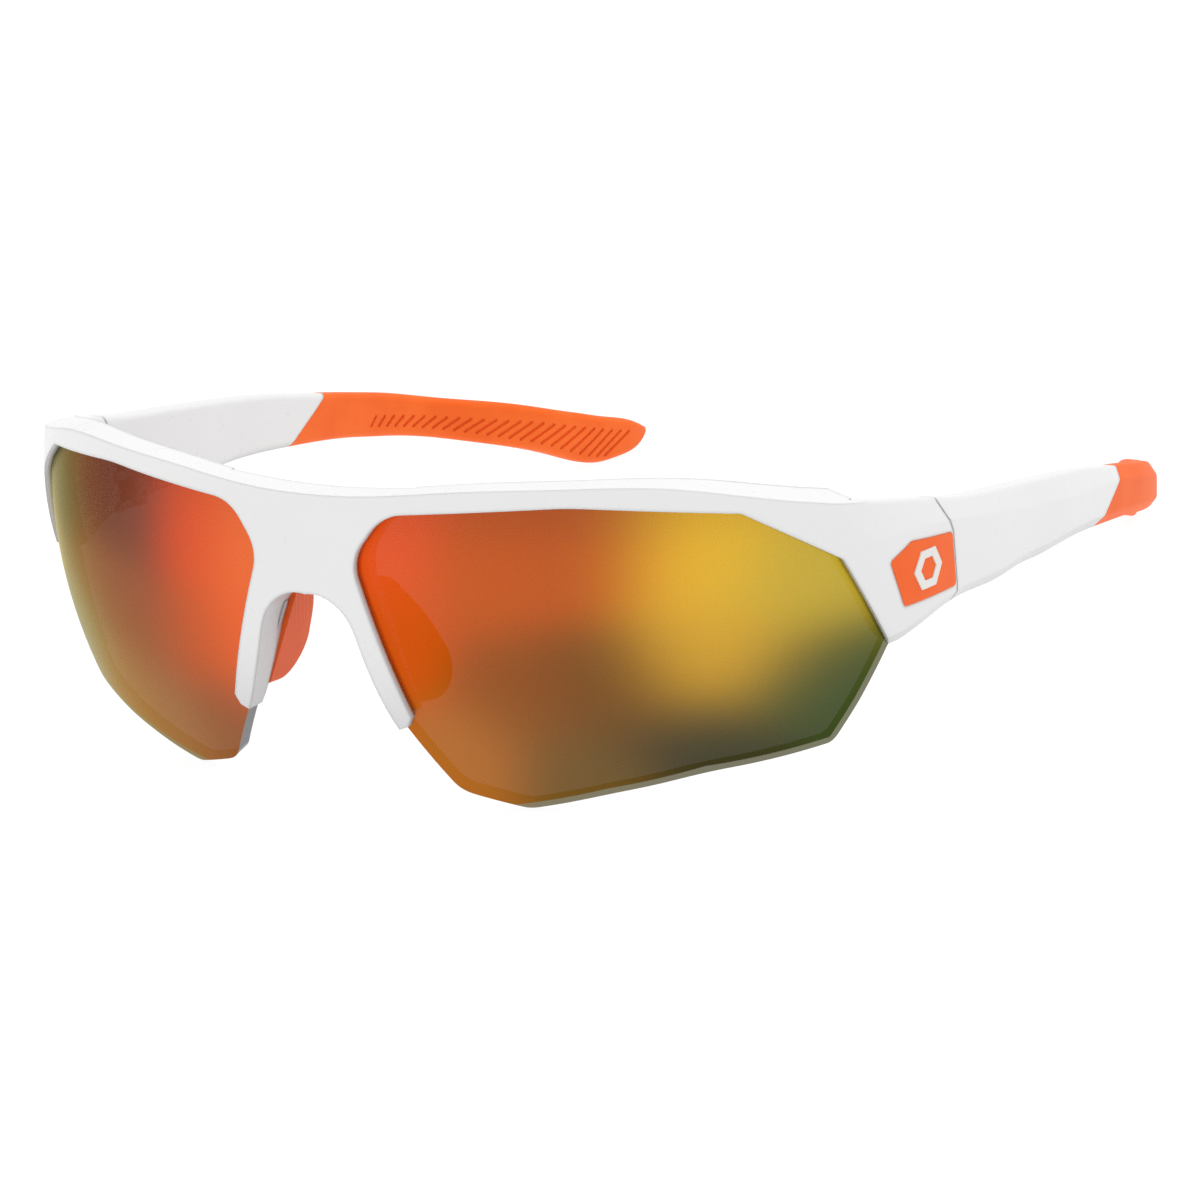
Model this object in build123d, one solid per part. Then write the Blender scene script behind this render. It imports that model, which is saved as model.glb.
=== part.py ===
from build123d import *
import math
import os

# Wraparound half-rim sport sunglasses, in millimetres.
# X runs from the wearer's right to the wearer's left, -Y is the way the wearer looks, and +Z is up.
# Shapes are drawn with y = 0 at the lens spheres' centres and z = 0 at the table that the lens
# bottoms and the sleeve heels stand on.  Each piece is then moved back so that the origin is at the
# middle of the footprint.  The wearer's left half is drawn, and the right half is its mirror image.

# ---- driving dimensions ----
LENS_RADIUS = 66.25  # front surface of a lens on an 8-dioptre base
LENS_THICK = 2.2
LENS_OFFSET = 4.24  # each lens sphere is centred this far to its side of the nose
LENS_CENTRE_Z = 27.1
LIP = 0.9  # the front lip stands this proud of the lens
REAR_LIP = 0.9
GROOVE_PLAY = 0.02  # between the lens and its groove
NOSE_REAR_Y = -62.0  # flat rear faces of the nose legs
BRIDGE_REAR_Y = -61.6  # flat rear face of the bridge, above the nose pads
BRIDGE_FOOT_Z = 30.0
ARM_THICK = 4.2
TIP_Y = 100.9
SEAM_GAP = 0.18  # between the end piece and the temple
PIN_X, PIN_Y = 60.8, -16.5  # the hinge pin stands upright here
PIN_RADIUS = 0.68
BORE_PLAY = 0.02
KNUCKLE_RADIUS = 1.6
LUG_HEIGHT = 1.3
TEMPLE_LUG_HEIGHT = 2.4
WASHER_THICK = 0.25
STACK_PLAY = 0.05  # between a washer and the lugs above and below it
HINGE_Z = 22.7  # middle of the knuckles
HEAD_RADIUS, HEAD_HEIGHT = 1.2, 0.5
NOTCH_X = 62.7  # inner face of the temple's wall beside the hinge
NOTCH_Y, NOTCH_TOP = -14.5, 26.3
FRONT_PLATE_X, TEMPLE_PLATE_X, PLATE_THICK = 61.2, 61.6, 1.2
FRONT_PLATE_HEIGHT, TEMPLE_PLATE_HEIGHT = 5.4, 4.0
PAD_THICK = 2.4
TONGUE_THICK = 1.0
BADGE_THICK = 0.9
BADGE_DEPTH = 0.8
EMBLEM_OUTER, EMBLEM_INNER = 2.8, 1.6  # corner radii of the hexagonal ring on the badge
EMBLEM_TOP, EMBLEM_FOOT = 0.25, -0.2  # measured from the arm's outer face
GROOVES = 25
GROOVE_WIDTH, GROOVE_DEPTH = 0.5, 0.35

WRAP_RADIUS = LENS_RADIUS + LIP
REAR_RADIUS = LENS_RADIUS - LENS_THICK - REAR_LIP
ORIGIN_Y = (TIP_Y - WRAP_RADIUS) / 2  # middle of the footprint, from the front of the lips to the tips

# Where radial cuts are drawn: planes y = -FAR_PLANE and y = -NEAR_PLANE.
FAR_PLANE = 75.0
NEAR_PLANE = 15.0

# ---- front view outlines, as (x, z) on the wearer's left, with each corner's rounding ----
# The lens, its hidden rim included.
LENS_OUTLINE = [
    ((24.0, 0.2), 5.0),
    ((16.3, 2.6), 5.5),
    ((9.5, 14.5), 30.0),
    ((5.6, 32.6), 6.0),
    ((9.6, 38.8), 8.0),
    ((33.0, 40.3), 60.0),
    ((49.3, 38.4), 4.0),
    ((60.2, 30.2), 3.0),
    ((61.8, 19.7), 0.8),
    ((60.9, 17.9), 0.8),
    ((58.0, 11.2), 60.0),
    ((55.1, 6.1), 5.0),
    ((43.5, 4.5), 80.0),
    ((33.5, 2.3), 80.0),
]
# The part of the lens that shows in front of the frame's lip.
OPENING_OUTLINE = [
    ((12.7, 12.6), 2.0),
    ((6.5, 32.4), 5.0),
    ((10.6, 38.0), 6.0),
    ((32.0, 39.3), 60.0),
    ((48.9, 37.3), 3.0),
    ((57.7, 30.2), 2.5),
    ((60.9, 18.2), 1.0),
    ((64.0, 12.0), 0.0),
    ((50.0, -6.0), 0.0),
    ((14.0, -6.0), 0.0),
]
# The brow, the bridge and one nose leg.
BROW_TOP = [(0.0, 39.9), (9.0, 40.3), (20.0, 41.3), (32.0, 41.6), (43.0, 41.0), (52.0, 38.7)]
BROW_TOP += [(60.0, 36.3), (70.0, 33.2)]
ARM_FOOT = [(70.0, 18.4), (61.2, 18.2), (57.0, 17.6), (40.0, 17.6)]
LEG = [(14.0, 17.6), (12.8, 13.2), (12.0, 11.6), (10.8, 11.1), (9.05, 15.2), (7.1, 21.4)]
LEG += [(5.6, 25.3), (3.2, 27.3), (0.0, 27.7)]

# ---- the arm, from inside the wrap to the tip of the sleeve ----
# (y, x) of the outer face, then (y, z) of the top, the crease and the bottom.
ARM_OUTER = [(-50, 53.4), (-44, 56.5), (-40, 58.6), (-37, 60.3), (-34, 61.7), (-31, 62.7), (-28, 63.45)]
ARM_OUTER += [(-24.5, 64.1), (-21, 64.6), (-10, 65.6), (5, 66.2), (15, 66.3), (25, 66.0), (35, 65.6)]
ARM_OUTER += [(45, 64.8), (55, 62.7), (65, 58.5), (75, 53.3), (85, 49.1), (95, 46.4), (101, 45.0)]
ARM_TOP = [(-50, 40.5), (-37, 36.9), (-27, 34.8), (-15.7, 32.3), (0, 29.8), (18, 26.8), (33, 23.6)]
ARM_TOP += [(45, 20.9), (55, 18.4), (65, 15.5), (75.7, 12.4), (80, 10.9), (91, 7.3), (95.7, 5.9)]
ARM_TOP += [(98, 4.9), (101, 3.3)]
ARM_CREASE = [(-50, 31.5), (-34, 31.4), (-25.6, 31.3), (-6.8, 28.0), (6.5, 25.7), (22, 23.3), (28, 22.6)]
ARM_CREASE += [(33, 21.9), (45, 19.0), (55, 16.6), (65, 13.9), (75.7, 11.0), (80, 9.5), (91, 5.8)]
ARM_CREASE += [(95.7, 4.4), (98, 3.7), (101, 2.8)]
ARM_BOTTOM = [(-50, 17.6), (-34, 17.8), (-31, 18.1), (-28, 18.7), (-24, 19.5), (-20, 20.0), (0, 19.2)]
ARM_BOTTOM += [(17, 18.3), (25, 17.3), (37.5, 15.4), (45, 13.9), (56, 11.5), (65, 8.8), (76.5, 4.8)]
ARM_BOTTOM += [(83.7, 1.6), (86.4, 0.6), (90, 0.05), (96, 0.25), (98.2, 0.8), (101, 2.3)]
# The y of each section that the arm is drawn through.
STATIONS = [-50, -44, -40, -37, -34, -31, -28, -24, -20, -14, -5, 5, 15, 25, 31, 37, 45, 55, 65, 75, 80]
STATIONS += [84, 87, 91, 95, 98, 100, TIP_Y]
# (y, z) of the seam between the end piece and the temple, from the top down.
SEAM = [(-22.9, 45.0), (-22.9, 33.4), (-22.0, 31.2), (-21.1, 29.3), (-20.4, 22.5), (-20.4, -10.0)]
# (y, z) of the sleeve's front edge on the outer face, from the top down.
SLEEVE_EDGE = [(37.0, 30.0), (35.2, 23.3), (32.0, 21.4), (27.4, 19.0), (22.5, 16.4)]
# (y, z) of the badge on the outer face.
BADGE = [(-33.7, 28.6), (-30.0, 30.3), (-21.4, 29.3), (-20.7, 22.4), (-31.5, 22.5)]
# (y, z) of the middle of the ring on the badge.
EMBLEM_MIDDLE = (-27.0, 26.2)
# (y, z) of a nose pad, with each corner's rounding.
PAD = [(-62.0, 29.4), (-57.6, 27.8), (-54.2, 22.4), (-52.5, 16.4), (-55.7, 12.5), (-62.0, 13.6)]
PAD_ROUNDING = [0.0, 3.0, 12.0, 4.0, 5.0, 0.0]
# The middle plane of a nose pad: x = PAD_X + PAD_BY_Y * y + PAD_BY_Z * z.
PAD_X, PAD_BY_Y, PAD_BY_Z = 23.18, 0.114, -0.3925


def smooth(points, at):
    """The height of a smooth curve through the points, at one place along it."""
    slopes = []
    for i, _ in enumerate(points):
        a, b = points[max(i - 1, 0)], points[min(i + 1, len(points) - 1)]
        slopes.append((b[1] - a[1]) / (b[0] - a[0]))
    k = 0
    while k < len(points) - 2 and at > points[k + 1][0]:
        k += 1
    (x0, z0), (x1, z1) = points[k], points[k + 1]
    h = x1 - x0
    t = (at - x0) / h
    rise = z1 - z0
    return (
        z0
        + slopes[k] * h * t * (1 - t) ** 2
        + rise * t * t * (3 - 2 * t)
        - slopes[k + 1] * h * t * t * (1 - t)
    )


def on_plane(points, plane_y):
    """Carry front view points of the lens's front face along their radii to the plane y = -plane_y."""
    carried = []
    for x, z in points:
        across, up = x - LENS_OFFSET, z - LENS_CENTRE_Z
        reach = plane_y / math.sqrt(LENS_RADIUS**2 - across**2 - up**2)
        carried.append((LENS_OFFSET + across * reach, LENS_CENTRE_Z + up * reach))
    return carried


def radial_cut(outline, play=0.0):
    """The solid of all radii of the left lens's sphere that pass through a front view outline."""
    points = [point for point, _ in outline]
    faces = []
    for plane_y in (FAR_PLANE, NEAR_PLANE):
        radii = [rounding * plane_y / LENS_RADIUS for _, rounding in outline]
        face = make_face(FilletPolyline(on_plane(points, plane_y), radius=radii, close=True))
        if play:
            face = offset(face, play * plane_y / LENS_RADIUS)
        faces.append(Plane.XZ.offset(plane_y) * face)
    return loft(faces, ruled=True)


def wrap_solid(radius):
    """The wrap's surface at one radius: two lens spheres joined by a cylinder across the nose."""
    middle = Pos(0, 0, LENS_CENTRE_Z)
    side = Pos(LENS_OFFSET, 0, 0) * Sphere(radius)
    across = Rot(0, 90, 0) * Cylinder(radius, 2 * LENS_OFFSET)
    return middle * (across + side + mirror(side, about=Plane.YZ))


def lens_blank(play=0.0):
    """The left lens's spherical shell, before its rim is cut."""
    centre = Pos(LENS_OFFSET, 0, LENS_CENTRE_Z)
    outer = centre * Sphere(LENS_RADIUS + play)
    inner = centre * Sphere(LENS_RADIUS - LENS_THICK - play)
    return outer - inner


def lens(play=0.0):
    return lens_blank(play) & radial_cut(LENS_OUTLINE, 2 * play)


def side_prism(points, x0=30.0, x1=80.0, radius=0.0):
    """A (y, z) outline extruded across, from x0 to x1."""
    edge = FilletPolyline(*points, radius=radius, close=True) if radius else Polyline(*points, close=True)
    return extrude(Plane.YZ.offset(x0) * make_face(edge), x1 - x0)


def block(x0, x1, y0, y1, z0, z1):
    return Pos((x0 + x1) / 2, (y0 + y1) / 2, (z0 + z1) / 2) * Box(x1 - x0, y1 - y0, z1 - z0)


def pin_cylinder(radius, z0, z1):
    return Pos(PIN_X, PIN_Y, (z0 + z1) / 2) * Cylinder(radius, z1 - z0)


# ---- the arm ----
def arm_section(y):
    """The arm's rounded six-sided section at one y."""
    slope = smooth(ARM_OUTER, y + 0.5) - smooth(ARM_OUTER, y - 0.5)
    end = min(1.0, math.sqrt(max(TIP_Y + 0.35 - y, 0.0) / 5.0))
    soft = min(max((y - 25.0) / 30.0, 0.0), 1.0)  # the section grows rounder along the sleeve
    width = (ARM_THICK - 0.6 * soft) * math.hypot(1.0, slope)
    outer = smooth(ARM_OUTER, y) - width * (1 - end) / 2
    inner = outer - width * end
    top, crease, bottom = smooth(ARM_TOP, y), smooth(ARM_CREASE, y), smooth(ARM_BOTTOM, y)
    corners = [
        ((inner, bottom), (1.0 + 0.3 * soft) * end),
        ((outer - 1.1 * end, bottom), 0.6 * end),
        ((outer, bottom + min(1.5, (crease - bottom) * 0.6)), (0.5 + 0.5 * soft) * end),
        ((outer, crease), (0.5 + 0.7 * soft) * end),
        ((outer - 1.3 * end, top), (0.5 + 0.3 * soft) * end),
        ((inner, top), (0.8 + 0.5 * soft) * end),
    ]
    edge = FilletPolyline([point for point, _ in corners], radius=[r for _, r in corners], close=True)
    return Plane.XZ.offset(-y) * make_face(edge)


def arm():
    return loft([arm_section(y) for y in STATIONS])


def ahead_of_seam():
    return side_prism([(-90.0, 45.0)] + SEAM + [(-90.0, -10.0)])


def behind_seam():
    shifted = [(y + SEAM_GAP, z + SEAM_GAP / 3) for y, z in SEAM]
    return side_prism(shifted + [(120.0, -10.0), (120.0, 45.0)])


def behind_sleeve_edge():
    return side_prism(SLEEVE_EDGE + [(22.5, -10.0), (120.0, -10.0), (120.0, 30.0)])


def groove(k):
    """One slanting grip groove on the inner face of the sleeve, numbered from the front."""
    along = k / (GROOVES - 1)
    y0, y1 = 45.7 + 43.4 * along, 47.3 + 48.0 * along
    z0 = smooth(ARM_BOTTOM, y0) + 1.6 - 0.5 * along
    z1 = smooth(ARM_TOP, y1) - 3.5 + 1.6 * along
    length, angle = math.hypot(y1 - y0, z1 - z0), math.degrees(math.atan2(z1 - z0, y1 - y0))
    slot = Pos((y0 + y1) / 2, (z0 + z1) / 2) * Rot(0, 0, angle) * SlotOverall(length, GROOVE_WIDTH)
    return extrude(Plane.YZ.offset(30.0) * slot, 40.0)


def tongue(play=0.0):
    """The temple's core inside the sleeve."""
    sections = []
    for y in (26.0, 38.0, 50.0, 60.0):
        x = smooth(ARM_OUTER, y) - ARM_THICK * 0.55
        z = (smooth(ARM_TOP, y) + smooth(ARM_BOTTOM, y)) / 2
        size = RectangleRounded(1.8 + 2 * play, 3.2 + 2 * play, 0.5)
        sections.append(Plane.XZ.offset(-y - (play if y > 55 else 0.0)) * Pos(x, z) * size)
    return loft(sections)


# ---- the hinge ----
def lug(z0, z1, y_end):
    """One knuckle around the pin, with its leg reaching to y_end."""
    leg = block(PIN_X - 0.8, PIN_X + KNUCKLE_RADIUS, min(PIN_Y, y_end), max(PIN_Y, y_end), z0, z1)
    return leg + pin_cylinder(KNUCKLE_RADIUS, z0, z1)


def plate(x, y0, y1, height):
    return block(x, x + PLATE_THICK, y0, y1, HINGE_Z - height / 2, HINGE_Z + height / 2)


def stack_heights():
    """The bottom and top of the lower front lug, the temple's lug and the upper front lug."""
    half, gap = TEMPLE_LUG_HEIGHT / 2, WASHER_THICK + 2 * STACK_PLAY
    low = HINGE_Z - half - gap
    high = HINGE_Z + half + gap
    return (low - LUG_HEIGHT, low), (HINGE_Z - half, HINGE_Z + half), (high, high + LUG_HEIGHT)


def bore():
    return pin_cylinder(PIN_RADIUS + BORE_PLAY, 0.0, 50.0)


def front_hinge():
    lower, _, upper = stack_heights()
    leaf = plate(FRONT_PLATE_X, -27.5, -20.8, FRONT_PLATE_HEIGHT)
    return leaf + lug(*lower, -21.4) + lug(*upper, -21.4) - bore()


def temple_hinge():
    _, middle, _ = stack_heights()
    leaf = plate(TEMPLE_PLATE_X, -14.0, -6.0, TEMPLE_PLATE_HEIGHT) + lug(*middle, -13.2)
    return leaf - bore()


def hinge_screw():
    lower, _, upper = stack_heights()
    shaft = pin_cylinder(PIN_RADIUS, lower[0] - 0.2, upper[1])
    head = pin_cylinder(HEAD_RADIUS, upper[1], upper[1] + HEAD_HEIGHT)
    head = fillet(head.edges().group_by(Axis.Z)[-1], 0.2)
    slot_z = upper[1] + HEAD_HEIGHT
    slot = block(PIN_X - 2.0, PIN_X + 2.0, PIN_Y - 0.2, PIN_Y + 0.2, slot_z - 0.3, slot_z + 1.0)
    return shaft + head - slot


def hinge_washers():
    lower, middle, _ = stack_heights()
    washers = []
    for z in (lower[1], middle[1]):
        ring = pin_cylinder(KNUCKLE_RADIUS - 0.1, z + STACK_PLAY, z + STACK_PLAY + WASHER_THICK)
        washers.append(ring - bore())
    return Compound(children=washers)


# ---- nose pads and badges ----
def pad_slab(thick, play=0.0):
    """A wide slab that lies in the nose pad's middle plane."""
    y, z = -57.0, 20.0
    middle = (PAD_X + PAD_BY_Y * y + PAD_BY_Z * z, y, z)
    plane = Plane(origin=middle, x_dir=(PAD_BY_Y, 1.0, 0.0), z_dir=(1.0, -PAD_BY_Y, -PAD_BY_Z))
    return plane * Box(60.0, 60.0, thick + 2 * play)


def pad_tongue(play=0.0):
    """The frame's tab that the nose pad is pushed onto."""
    tab = block(0.0, 20.0, -63.0, -57.5 + play, 17.0 - play, 25.0 + play)
    return tab & pad_slab(TONGUE_THICK, play)


def nose_pad():
    edge = FilletPolyline(*PAD, radius=PAD_ROUNDING, close=True)
    outline = extrude(Plane.YZ * make_face(edge), 20.0)
    pad = outline & pad_slab(PAD_THICK)
    broad = pad.faces().sort_by(Axis.X)[0].edges() + pad.faces().sort_by(Axis.X)[-1].edges()
    pad = fillet(broad.filter_by(lambda e: e.center().Y > NOSE_REAR_Y + 0.05), 0.8)
    return pad - pad_tongue(BORE_PLAY)


def on_arm(points, radius, low, high, depth_arm):
    """A plate of the given outline, between two depths measured from the arm's outer face."""
    prism = side_prism(points, 60.5, 80.0, radius)
    return (prism & Pos(high, 0, 0) * depth_arm) - Pos(low, 0, 0) * depth_arm


# ---- the front ----
def front_outline():
    """The brow, the bridge and one nose leg seen from the front, as one closed outline."""
    top = Spline(*BROW_TOP)
    rest = Polyline(BROW_TOP[-1], *ARM_FOOT, *LEG[:4])
    arch = Spline(*LEG[3:])
    middle = Polyline(LEG[-1], BROW_TOP[0])
    return make_face([top, rest, arch, middle])


def nose_side(y0, legs_y1, bridge_y1, width):
    """The space over the nose, from y0 back to one depth at the legs and another at the bridge."""
    legs = block(0.0, width, y0, legs_y1, 5.0, BRIDGE_FOOT_Z)
    return legs + block(0.0, width, y0, bridge_y1, BRIDGE_FOOT_Z, 45.0)


def half_front(whole_arm):
    """The left half of the front, before its grooves and pockets are cut."""
    outline = extrude(Plane.XZ.offset(80.0) * front_outline(), -70.0)
    ahead = nose_side(-70.0, NOSE_REAR_Y, BRIDGE_REAR_Y, 13.0)
    behind_nose = block(0.0, 13.0, -70.0, -50.0, 5.0, 45.0) - ahead
    shell = wrap_solid(WRAP_RADIUS) - wrap_solid(REAR_RADIUS) - behind_nose
    nose = nose_side(-70.0, NOSE_REAR_Y, BRIDGE_REAR_Y, 14.0)
    brow = (shell & block(0.0, 58.0, -75.0, -36.2, -5.0, 50.0)) + (wrap_solid(WRAP_RADIUS) & nose)
    end_piece = (whole_arm & ahead_of_seam()) & wrap_solid(WRAP_RADIUS)
    return ((brow + end_piece) & outline) - radial_cut(OPENING_OUTLINE)


def front(whole_arm):
    """The whole front, with the lens grooves, the hinge pockets, the badge pockets and the pad tabs."""
    half = half_front(whole_arm) - lens(GROOVE_PLAY)
    half = half + pad_tongue() - front_hinge()
    half = half - (side_prism(BADGE, 60.5, 80.0, 0.5) - Pos(-BADGE_DEPTH, 0, 0) * whole_arm)
    return half + mirror(half, about=Plane.YZ)


def temple(whole_arm):
    body = (whole_arm & behind_seam()) - behind_sleeve_edge()
    body = body + tongue() - block(40.0, NOTCH_X, -40.0, NOTCH_Y, -10.0, NOTCH_TOP)
    return body - temple_hinge()


def sleeve(whole_arm):
    body = (whole_arm & behind_sleeve_edge()) - tongue(BORE_PLAY)
    grooves = Part() + [groove(k) for k in range(GROOVES)]
    return body - (grooves - Pos(GROOVE_DEPTH, 0, 0) * whole_arm)


def emblem(whole_arm):
    """A plain hexagonal ring let into the badge."""
    ring = RegularPolygon(EMBLEM_OUTER, 6) - RegularPolygon(EMBLEM_INNER, 6)
    ring = extrude(Plane.YZ.offset(60.5) * Pos(*EMBLEM_MIDDLE) * ring, 20.0)
    return (ring & Pos(EMBLEM_TOP, 0, 0) * whole_arm) - Pos(EMBLEM_FOOT, 0, 0) * whole_arm


def badge(whole_arm):
    return on_arm(BADGE, 0.5, -BADGE_DEPTH, BADGE_THICK - BADGE_DEPTH, whole_arm) - emblem(whole_arm)


def left_pieces(whole_arm):
    return {
        "lens": lens(),
        "nose_pad": nose_pad(),
        "badge": badge(whole_arm),
        "badge_emblem": emblem(whole_arm),
        "front_hinge": front_hinge(),
        "temple_hinge": temple_hinge(),
        "hinge_screw": hinge_screw(),
        "hinge_washers": hinge_washers(),
        "temple": temple(whole_arm),
        "temple_sleeve": sleeve(whole_arm),
    }


def main():
    whole_arm = arm()
    pieces = {"front_frame": front(whole_arm)}
    for name, piece in left_pieces(whole_arm).items():
        pieces[f"left_{name}"] = piece
        pieces[f"right_{name}"] = mirror(piece, about=Plane.YZ)
    os.makedirs("parts", exist_ok=True)
    for name, piece in pieces.items():
        export_step(Pos(0, -ORIGIN_Y, 0) * piece, f"parts/{name}.step")


main()
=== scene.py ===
import math

import bpy
from mathutils import Matrix, Vector


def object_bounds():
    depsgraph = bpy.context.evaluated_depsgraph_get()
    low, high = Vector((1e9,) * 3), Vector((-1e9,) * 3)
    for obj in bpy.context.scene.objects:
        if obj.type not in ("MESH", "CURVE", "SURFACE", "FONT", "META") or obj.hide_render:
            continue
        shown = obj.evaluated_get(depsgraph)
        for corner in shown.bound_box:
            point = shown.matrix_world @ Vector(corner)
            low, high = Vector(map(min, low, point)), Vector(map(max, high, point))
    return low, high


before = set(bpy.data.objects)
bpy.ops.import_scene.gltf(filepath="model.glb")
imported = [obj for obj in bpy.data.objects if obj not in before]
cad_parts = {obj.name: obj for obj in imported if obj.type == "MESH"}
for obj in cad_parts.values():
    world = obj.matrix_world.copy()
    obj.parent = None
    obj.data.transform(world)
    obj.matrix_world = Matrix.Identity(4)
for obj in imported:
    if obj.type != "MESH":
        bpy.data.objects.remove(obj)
size_at_start = [[float(v) for v in corner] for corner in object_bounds()]

# The design's own dimensions, in millimetres, as part.py has them.
LENS_RADIUS, LENS_THICK, LENS_OFFSET, LENS_CENTRE_Z, ORIGIN_Y = 66.25, 2.2, 4.24, 27.1, 16.875
MM = 0.001

# The colours of the mirror coating, partly its own colour and partly painted reflections and highlights, as
# ((x, z), colour) spots across each lens.
COATING_AND_REFLECTIONS = {
    "left_lens": [
        ((10, 34), (0.96, 0.098, 0.012)),
        ((11, 22), (0.76, 0.098, 0.004)),
        ((18, 8), (0.54, 0.168, 0.018)),
        ((23, 31), (0.66, 0.101, 0.000)),
        ((25, 17), (0.31, 0.076, 0.000)),
        ((35, 33), (0.61, 0.094, 0.000)),
        ((36, 18), (0.19, 0.063, 0.000)),
        ((31, 5), (0.18, 0.098, 0.015)),
        ((45, 33), (1.00, 0.574, 0.020)),
        ((46, 21), (0.81, 0.435, 0.024)),
        ((44, 8), (0.03, 0.037, 0.012)),
        ((55, 29), (0.63, 0.457, 0.038)),
        ((56, 15), (0.03, 0.078, 0.016)),
    ],
    "right_lens": [
        ((-8, 33), (1.00, 0.175, 0.032)),
        ((-10, 20), (1.00, 0.138, 0.020)),
        ((-16, 8), (0.33, 0.097, 0.034)),
        ((-18, 34), (0.88, 0.085, 0.014)),
        ((-19, 19), (0.62, 0.096, 0.018)),
        ((-28, 35), (0.18, 0.042, 0.034)),
        ((-29, 20), (0.34, 0.082, 0.041)),
        ((-27, 7), (0.40, 0.153, 0.071)),
        ((-38, 36), (0.15, 0.000, 0.020)),
        ((-40, 21), (0.30, 0.075, 0.047)),
        ((-37, 8), (0.41, 0.160, 0.072)),
        ((-50, 31), (0.05, 0.060, 0.058)),
        ((-60, 25), (0.80, 0.640, 0.100)),
        ((-47, 14), (0.29, 0.298, 0.206)),
    ],
}
SPOT = 5.0  # how far each spot spreads, in millimetres
SKIN = 0.1  # how near to a lens's front or rear face a point counts as on it, in millimetres
# The lens's free edges as front view points (x, z) of the left lens, each run being straight or hollow.
FREE_EDGES = [
    [(60.9, 17.9), (58.0, 11.2)],
    [(58.0, 11.2), (55.1, 6.1)],
    [(55.1, 6.1), (43.5, 4.5), (33.5, 2.3), (24.0, 0.2)],
]


# ---- node helpers ----
def is_socket(value):
    return isinstance(value, bpy.types.NodeSocket)


def put(tree, kind, inputs=None, **settings):
    """A node of that kind, with its settings and its inputs, each a value or another node's output."""
    made = tree.nodes.new(kind)
    for key, value in settings.items():
        setattr(made, key, value)
    for key, value in (inputs or {}).items():
        if is_socket(value):
            tree.links.new(value, made.inputs[key])
        else:
            made.inputs[key].default_value = value
    return made


def maths(tree, operation, a, b=0.0, clamp=False):
    return put(tree, "ShaderNodeMath", {0: a, 1: b}, operation=operation, use_clamp=clamp).outputs[0]


def vector(tree, operation, a, b=None, scale=None):
    inputs = {0: a}
    if b is not None:
        inputs[1] = b
    if scale is not None:
        inputs["Scale"] = scale
    made = put(tree, "ShaderNodeVectorMath", inputs, operation=operation)
    return made.outputs["Value"] if operation in ("DOT_PRODUCT", "DISTANCE", "LENGTH") else made.outputs[0]


def ramp(tree, value, low, high, to_low=0.0, to_high=1.0):
    inputs = {"Value": value, "From Min": low, "From Max": high, "To Min": to_low, "To Max": to_high}
    return put(tree, "ShaderNodeMapRange", inputs, interpolation_type="SMOOTHSTEP").outputs[0]


def colour(rgb):
    return (*rgb, 1.0)


def blend(tree, factor, a, b):
    a, b = (value if is_socket(value) else colour(value) for value in (a, b))
    return put(tree, "ShaderNodeMix", {0: factor, 6: a, 7: b}, data_type="RGBA").outputs[2]


def place(tree):
    """Where the shaded point is on the object, in millimetres."""
    here = put(tree, "ShaderNodeTexCoord").outputs["Object"]
    return vector(tree, "SCALE", here, scale=1 / MM)


def noise(tree, at, scale, detail=3.0, roughness=0.5):
    inputs = {"Vector": at, "Scale": scale, "Detail": detail, "Roughness": roughness}
    return put(tree, "ShaderNodeTexNoise", inputs).outputs[0]


def rounded(tree, radius):
    """The surface's direction with every sharp edge rounded to that radius, in millimetres."""
    return put(tree, "ShaderNodeBevel", {"Radius": radius * MM}, samples=6).outputs[0]


def edge_wear(tree, soft):
    """One on a rounded edge, and nothing on the flats."""
    plain = put(tree, "ShaderNodeNewGeometry").outputs["Normal"]
    return ramp(tree, vector(tree, "DOT_PRODUCT", plain, soft), 0.995, 0.85)


def painted_corner_shade(tree, reach, most):
    """How much painted shade goes on: nothing in the open, and up to most in corners narrower than reach,
    in millimetres.
    """
    inputs = {"Distance": reach * MM}
    open_share = put(tree, "ShaderNodeAmbientOcclusion", inputs, samples=8).outputs["AO"]
    return ramp(tree, open_share, 0.85, 0.2, 0.0, most)


def bumped(tree, height, depth, normal=None, strength=1.0):
    """Relief of the given depth in millimetres."""
    inputs = {"Height": height, "Distance": depth * MM, "Strength": strength}
    if normal is not None:
        inputs["Normal"] = normal
    return put(tree, "ShaderNodeBump", inputs).outputs[0]


def material(name):
    made = bpy.data.materials.new(name)
    made.use_nodes = True
    tree = made.node_tree
    shader = tree.nodes["Principled BSDF"]
    return made, tree, shader


def set_inputs(tree, shader, inputs):
    for key, value in inputs.items():
        if is_socket(value):
            tree.links.new(value, shader.inputs[key])
        else:
            shader.inputs[key].default_value = value


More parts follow.
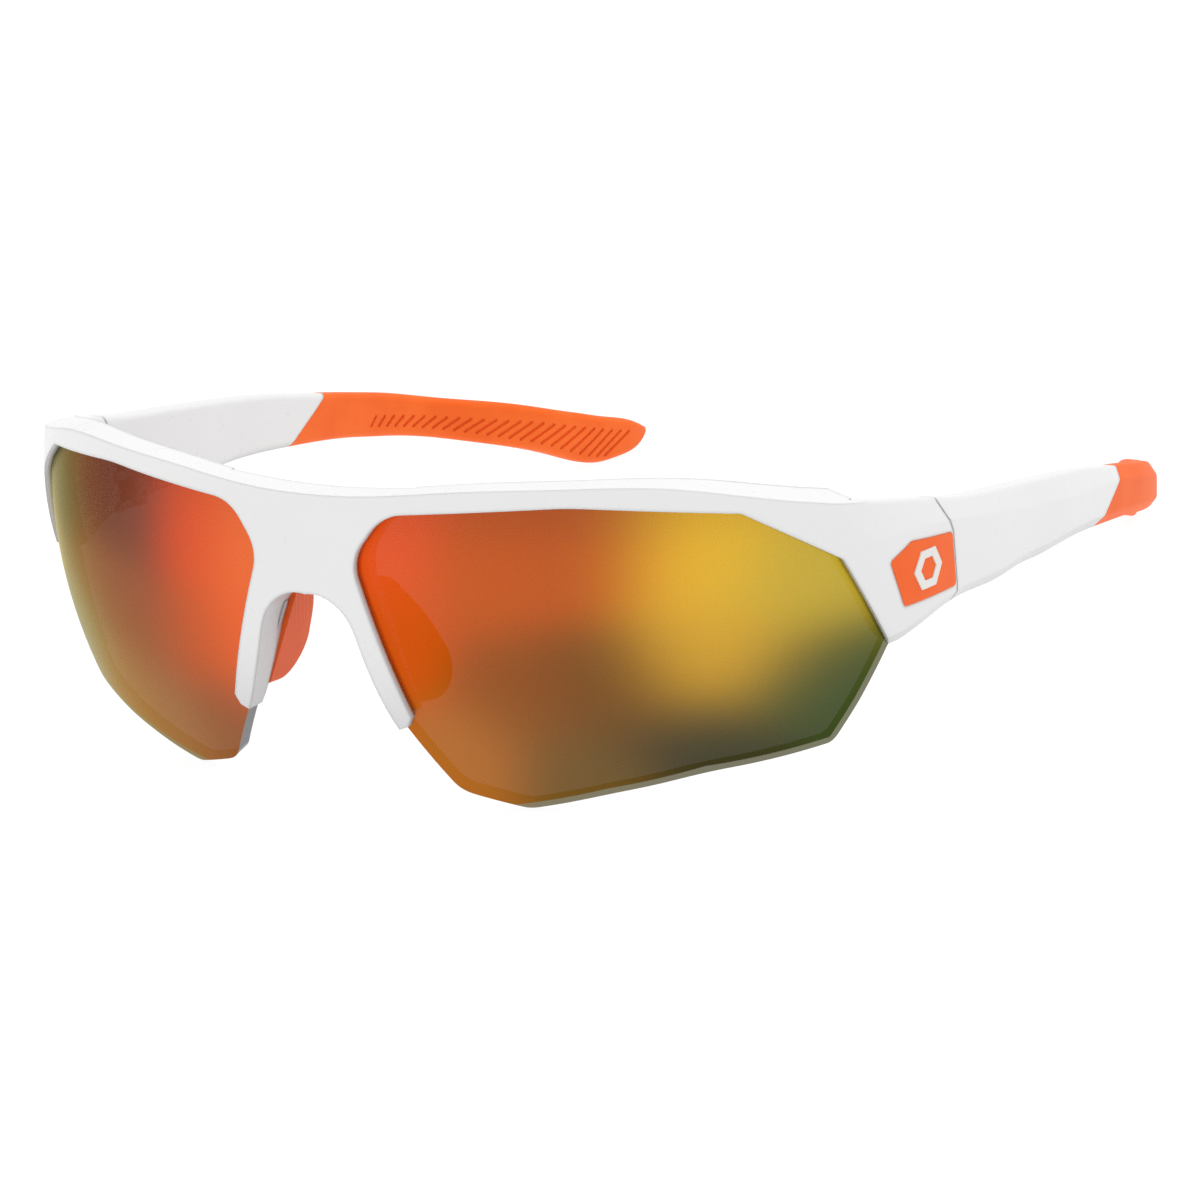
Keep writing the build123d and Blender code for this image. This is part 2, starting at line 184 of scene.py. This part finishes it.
# ---- materials ----
def frame_white():
    """Satin white moulded nylon, with painted shade darkening its corners and narrow gaps."""
    made, tree, shader = material("satin_white_nylon")
    at = place(tree)
    soft = rounded(tree, 0.8)
    wear = edge_wear(tree, soft)
    drift = noise(tree, at, 0.06, 2.0)
    grain = noise(tree, at, 9.0, 2.0, 0.6)
    flow = noise(tree, at, 0.35, 4.0)
    body = blend(tree, drift, (0.825, 0.825, 0.83), (0.855, 0.855, 0.85))
    body = blend(tree, maths(tree, "MULTIPLY", wear, 0.35), body, (0.9, 0.9, 0.9))
    # painted shade: the white darkens towards grey 0.45 in corners and narrow gaps, where shade falls
    body = blend(tree, painted_corner_shade(tree, 40.0, 1.0), body, (0.45, 0.45, 0.46))
    rough = maths(tree, "ADD", ramp(tree, flow, 0.3, 0.7, 0.27, 0.34), maths(tree, "MULTIPLY", wear, 0.06))
    relief = maths(tree, "ADD", maths(tree, "MULTIPLY", grain, 0.3), flow)
    set_inputs(tree, shader, {
        "Base Color": body,
        "Roughness": rough,
        "Specular IOR Level": 0.4,
        "Normal": bumped(tree, relief, 0.002, soft, 0.4),
    })
    return made


def orange_rubber(name, base, deep, ribs=None):
    """Soft-touch rubber with a fine moulded grain, slightly paler on its edges."""
    made, tree, shader = material(name)
    at = place(tree)
    soft = rounded(tree, 0.3)
    wear = edge_wear(tree, soft)
    cloud = noise(tree, at, 0.12, 3.0)
    grain = noise(tree, at, 7.0, 4.0, 0.7)
    body = blend(tree, ramp(tree, cloud, 0.3, 0.7), deep, base)
    paler = tuple(min(1.0, c * 1.15 + 0.01) for c in base)
    body = blend(tree, maths(tree, "MULTIPLY", wear, 0.3), body, paler)
    height = maths(tree, "MULTIPLY", grain, 0.35)
    if ribs is not None:
        height = maths(tree, "ADD", height, ribs(tree, at))
    set_inputs(tree, shader, {
        "Base Color": body,
        "Roughness": ramp(tree, grain, 0.3, 0.7, 0.5, 0.64),
        "Specular IOR Level": 0.18,
        "Sheen Weight": 0.04,
        "Sheen Roughness": 0.5,
        "Normal": bumped(tree, height, 0.05, soft, 0.6),
    })
    return made


def pad_ribs(tree, at):
    """Fine slanting ribs across the upper rear of a nose pad."""
    slant = vector(tree, "DOT_PRODUCT", at, (0.0, 0.86, 0.51))
    wave = maths(tree, "SINE", maths(tree, "MULTIPLY", slant, 2 * math.pi / 0.9))
    up = vector(tree, "DOT_PRODUCT", at, (0.0, 0.0, 1.0))
    return maths(tree, "MULTIPLY", wave, ramp(tree, up, 18.0, 23.0, 0.0, 0.9))


def badge_orange():
    made, tree, shader = material("smooth_orange_plastic")
    at = place(tree)
    soft = rounded(tree, 0.12)
    wear = edge_wear(tree, soft)
    cloud = noise(tree, at, 0.25, 3.0)
    grain = noise(tree, at, 14.0, 2.0, 0.6)
    body = blend(tree, cloud, (0.90, 0.118, 0.010), (0.98, 0.150, 0.018))
    body = blend(tree, maths(tree, "MULTIPLY", wear, 0.4), body, (1.0, 0.25, 0.08))
    set_inputs(tree, shader, {
        "Base Color": body,
        "Roughness": ramp(tree, grain, 0.3, 0.7, 0.34, 0.42),
        "Specular IOR Level": 0.22,
        "Normal": bumped(tree, grain, 0.006, soft, 0.5),
    })
    return made


def emblem_white():
    made, tree, shader = material("smooth_white_plastic")
    at = place(tree)
    soft = rounded(tree, 0.12)
    grain = noise(tree, at, 12.0, 3.0, 0.6)
    set_inputs(tree, shader, {
        "Base Color": blend(tree, grain, (0.80, 0.78, 0.74), (0.86, 0.84, 0.80)),
        "Roughness": ramp(tree, grain, 0.3, 0.7, 0.32, 0.42),
        "Normal": bumped(tree, grain, 0.005, soft, 0.5),
    })
    return made


def steel(name, tone, along, rough):
    """Brushed or turned stainless steel, its fine scratches along one direction."""
    made, tree, shader = material(name)
    at = vector(tree, "MULTIPLY", place(tree), along)
    scratch = noise(tree, at, 1.0, 6.0, 0.7)
    cloud = noise(tree, place(tree), 0.4, 2.0)
    soft = rounded(tree, 0.1)
    wear = edge_wear(tree, soft)
    dull = tuple(tone * c for c in (0.9, 0.9, 0.92))
    bright = tuple(tone * c for c in (1.05, 1.04, 1.02))
    body = blend(tree, cloud, dull, bright)
    body = blend(tree, maths(tree, "MULTIPLY", wear, 0.5), body, (0.85, 0.85, 0.84))
    set_inputs(tree, shader, {
        "Base Color": body,
        "Metallic": 1.0,
        "Roughness": ramp(tree, scratch, 0.3, 0.7, rough, rough + 0.15),
        "Normal": bumped(tree, scratch, 0.01, soft, 0.6),
    })
    return made


def washer_nylon():
    made, tree, shader = material("natural_nylon")
    grain = noise(tree, place(tree), 6.0, 3.0, 0.6)
    set_inputs(tree, shader, {
        "Base Color": blend(tree, grain, (0.66, 0.65, 0.60), (0.76, 0.75, 0.70)),
        "Roughness": ramp(tree, grain, 0.3, 0.7, 0.5, 0.65),
        "Subsurface Weight": 0.15,
        "Subsurface Radius": (0.0006, 0.0005, 0.0004),
        "Normal": bumped(tree, grain, 0.01),
    })
    return made


# ---- the lenses ----
def lens_centre(side):
    return Vector((side * LENS_OFFSET, -ORIGIN_Y, LENS_CENTRE_Z))


def spread(tree, at, spots):
    """Soft colour spots that run into each other: each counts for less further from its middle."""
    total, sum_of = None, None
    for (x, z), rgb in spots:
        away = vector(tree, "SUBTRACT", vector(tree, "MULTIPLY", at, (1.0, 0.0, 1.0)), (x, 0.0, z))
        near = maths(tree, "MULTIPLY", vector(tree, "DOT_PRODUCT", away, away), -0.5 / SPOT**2)
        share = maths(tree, "EXPONENT", near)
        part = vector(tree, "SCALE", rgb, scale=share)
        total = share if total is None else maths(tree, "ADD", total, share)
        sum_of = part if sum_of is None else vector(tree, "ADD", sum_of, part)
    return vector(tree, "SCALE", sum_of, scale=maths(tree, "DIVIDE", 1.0, maths(tree, "ADD", total, 1e-6)))


def on_lens(point, side):
    """The direction from a lens's centre to a front view point of the left lens, on that side."""
    across, up = point[0] - LENS_OFFSET, point[1] - LENS_CENTRE_Z
    return Vector((side * across, -math.sqrt(LENS_RADIUS**2 - across**2 - up**2), up))


def from_free_edge(tree, at, side):
    """How far inside the lens's free edge a point of its front face is, in millimetres."""
    arm = vector(tree, "SUBTRACT", at, tuple(lens_centre(side)))
    middle = on_lens((32.0, 20.0), side)
    nearest = None
    for run in FREE_EDGES:
        inside = None
        for a, b in zip(run, run[1:]):
            wall = on_lens(a, side).cross(on_lens(b, side)).normalized()
            if wall.dot(middle) < 0:
                wall = -wall
            away = vector(tree, "DOT_PRODUCT", arm, tuple(wall))
            inside = away if inside is None else maths(tree, "MAXIMUM", inside, away)
        nearest = inside if nearest is None else maths(tree, "MINIMUM", nearest, inside)
    return nearest


def lens_material(name, side):
    """Polycarbonate: a coloured mirror coating on the front with painted reflections and highlights in its
    colour, smoked behind it, and a polished free edge.
    """
    made, tree, front = material(f"{name}_coating")
    at = place(tree)
    smear = noise(tree, at, 0.09, 3.0)
    fine = noise(tree, at, 3.0, 3.0, 0.6)
    # painted reflection: the coating's colour spots hold the soft reflections and highlights of the mirror
    coating_with_reflections = spread(tree, at, COATING_AND_REFLECTIONS[name])
    coating_with_reflections = blend(tree, maths(tree, "MULTIPLY", smear, 0.05), coating_with_reflections, (0.50, 0.22, 0.05))
    edge = from_free_edge(tree, at, side)
    polished = ramp(tree, edge, 0.95, 0.8)
    coating_with_reflections = blend(tree, maths(tree, "MULTIPLY", polished, 0.75), coating_with_reflections, (0.30, 0.29, 0.21))
    set_inputs(tree, front, {
        "Base Color": coating_with_reflections,
        "Metallic": 0.92,
        "Specular Tint": colour((0.95, 0.84, 0.45)),
        "Roughness": ramp(tree, fine, 0.3, 0.7, 0.24, 0.3),
        "Specular IOR Level": 0.1,
        "Normal": bumped(tree, smear, 0.004, None, 0.3),
    })
    smoke = put(tree, "ShaderNodeBsdfPrincipled", {
        "Base Color": blend(tree, fine, (0.085, 0.088, 0.1), (0.105, 0.108, 0.122)),
        "Roughness": ramp(tree, fine, 0.3, 0.7, 0.12, 0.2),
        "Specular IOR Level": 0.25,
        "Normal": rounded(tree, 0.15),
    }).outputs[0]
    clear = put(tree, "ShaderNodeBsdfTransparent", {"Color": colour((0.16, 0.17, 0.18))}).outputs[0]
    front_face = put(tree, "ShaderNodeMixShader", {0: 0.2, 1: front.outputs[0], 2: clear}).outputs[0]
    pale = put(tree, "ShaderNodeBsdfTransparent", {"Color": colour((0.9, 0.88, 0.85))}).outputs[0]
    rear_face = put(tree, "ShaderNodeMixShader", {0: 0.75, 1: smoke, 2: pale}).outputs[0]
    reach = vector(tree, "DISTANCE", at, tuple(lens_centre(side)))
    is_edge = maths(tree, "GREATER_THAN", reach, LENS_RADIUS - LENS_THICK + SKIN)
    behind = put(tree, "ShaderNodeMixShader", {0: is_edge, 1: rear_face, 2: smoke}).outputs[0]
    is_front = maths(tree, "GREATER_THAN", reach, LENS_RADIUS - SKIN)
    both = put(tree, "ShaderNodeMixShader", {0: is_front, 1: behind, 2: front_face}).outputs[0]
    tree.links.new(both, tree.nodes["Material Output"].inputs["Surface"])
    return made


# ---- dressing the CAD nodes ----
def dress(name, made):
    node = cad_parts[name]
    node.data.materials.clear()
    node.data.materials.append(made)
    even = node.modifiers.new("even_shading", "WEIGHTED_NORMAL")
    even.mode = "FACE_AREA"
    even.keep_sharp = True


def dress_all():
    white = frame_white()
    sleeve = orange_rubber("sleeve_rubber", (0.99, 0.160, 0.017), (0.94, 0.135, 0.012))
    pad = orange_rubber("pad_rubber", (0.74, 0.100, 0.010), (0.66, 0.085, 0.007), pad_ribs)
    badge, emblem, nylon = badge_orange(), emblem_white(), washer_nylon()
    hinge = steel("brushed_steel", 0.56, (0.6, 0.6, 14.0), 0.3)
    screw = steel("turned_steel", 0.62, (5.0, 5.0, 12.0), 0.22)
    looks = {
        "temple": white,
        "temple_sleeve": sleeve,
        "nose_pad": pad,
        "badge": badge,
        "badge_emblem": emblem,
        "front_hinge": hinge,
        "temple_hinge": hinge,
        "hinge_screw": screw,
        "hinge_washers": nylon,
    }
    dress("front_frame", white)
    for side_name, side in (("left", 1), ("right", -1)):
        dress(f"{side_name}_lens", lens_material(f"{side_name}_lens", side))
        for piece, made in looks.items():
            dress(f"{side_name}_{piece}", made)


# ---- stage, lights and camera ----
def stage_material():
    made, tree, shader = material("pale_light_table")
    cloud = noise(tree, place(tree), 0.004, 2.0)
    set_inputs(tree, shader, {
        "Base Color": blend(tree, cloud, (0.12, 0.12, 0.12), (0.14, 0.14, 0.14)),
        "Roughness": 0.9,
        "Specular IOR Level": 0.0,
        "Emission Color": colour((1.0, 1.0, 1.0)),
        "Emission Strength": 0.93,
    })
    return made


FLOOR_REACH, FLOOR_GAP = 8.0, 0.0002  # half the floor's width, and how far below the part it lies


def add_floor():
    reach = FLOOR_REACH
    mesh = bpy.data.meshes.new("floor")
    corners = [(-reach, -reach, 0), (reach, -reach, 0), (reach, reach, 0), (-reach, reach, 0)]
    mesh.from_pydata(corners, [], [(0, 1, 2, 3)])
    floor = bpy.data.objects.new("floor", mesh)
    floor.location.z = size_at_start[0][2] - FLOOR_GAP
    mesh.materials.append(stage_material())
    bpy.context.collection.objects.link(floor)


def add_light(name, where, size, power):
    data = bpy.data.lights.new(name, "AREA")
    data.shape, data.size, data.energy = "SQUARE", size, power
    light = bpy.data.objects.new(name, data)
    light.location = where
    light.rotation_mode = "QUATERNION"
    light.rotation_quaternion = (-Vector(where)).to_track_quat("-Z", "Y")
    bpy.context.collection.objects.link(light)


def add_lights():
    world = bpy.data.worlds.new("studio")
    bpy.context.scene.world = world
    world.use_nodes = True
    sky = world.node_tree.nodes["Background"]
    sky.inputs["Color"].default_value = (1.0, 1.0, 1.0, 1.0)
    sky.inputs["Strength"].default_value = 0.72
    add_light("overhead", (0.1, 0.1, 1.2), 1.2, 8.5)
    add_light("front_right", (-0.9, -0.9, 0.7), 0.8, 1.4)


CAMERA_TURN, CAMERA_RISE, CAMERA_ROLL = (math.radians(a) for a in (28.9989, 17.0384, -2.5853))
CAMERA_AIM = Vector((3.2043, -ORIGIN_Y, 7.7861)) * MM
CAMERA_REACH = 0.51304  # in metres, from the camera to what it aims at
CAMERA_SENSOR, CAMERA_LENS = 36.0, 113.2064


def add_camera():
    turn, rise, roll = CAMERA_TURN, CAMERA_RISE, CAMERA_ROLL
    back = Vector((math.sin(turn) * math.cos(rise), -math.cos(turn) * math.cos(rise), math.sin(rise)))
    level = Vector((math.cos(turn), math.sin(turn), 0.0))
    upright = back.cross(level)
    right = level * math.cos(roll) + upright * math.sin(roll)
    up = upright * math.cos(roll) - level * math.sin(roll)
    data = bpy.data.cameras.new("camera")
    data.sensor_width, data.lens = CAMERA_SENSOR, CAMERA_LENS
    data.clip_start, data.clip_end = 0.01, 50.0
    camera = bpy.data.objects.new("camera", data)
    camera.matrix_world = Matrix.Translation(CAMERA_AIM + back * CAMERA_REACH) @ Matrix((
        (right.x, up.x, back.x, 0.0),
        (right.y, up.y, back.y, 0.0),
        (right.z, up.z, back.z, 0.0),
        (0.0, 0.0, 0.0, 1.0),
    ))
    bpy.context.collection.objects.link(camera)
    bpy.context.scene.camera = camera


dress_all()
add_floor()
add_lights()
add_camera()
bpy.context.scene.view_settings.view_transform = "Standard"
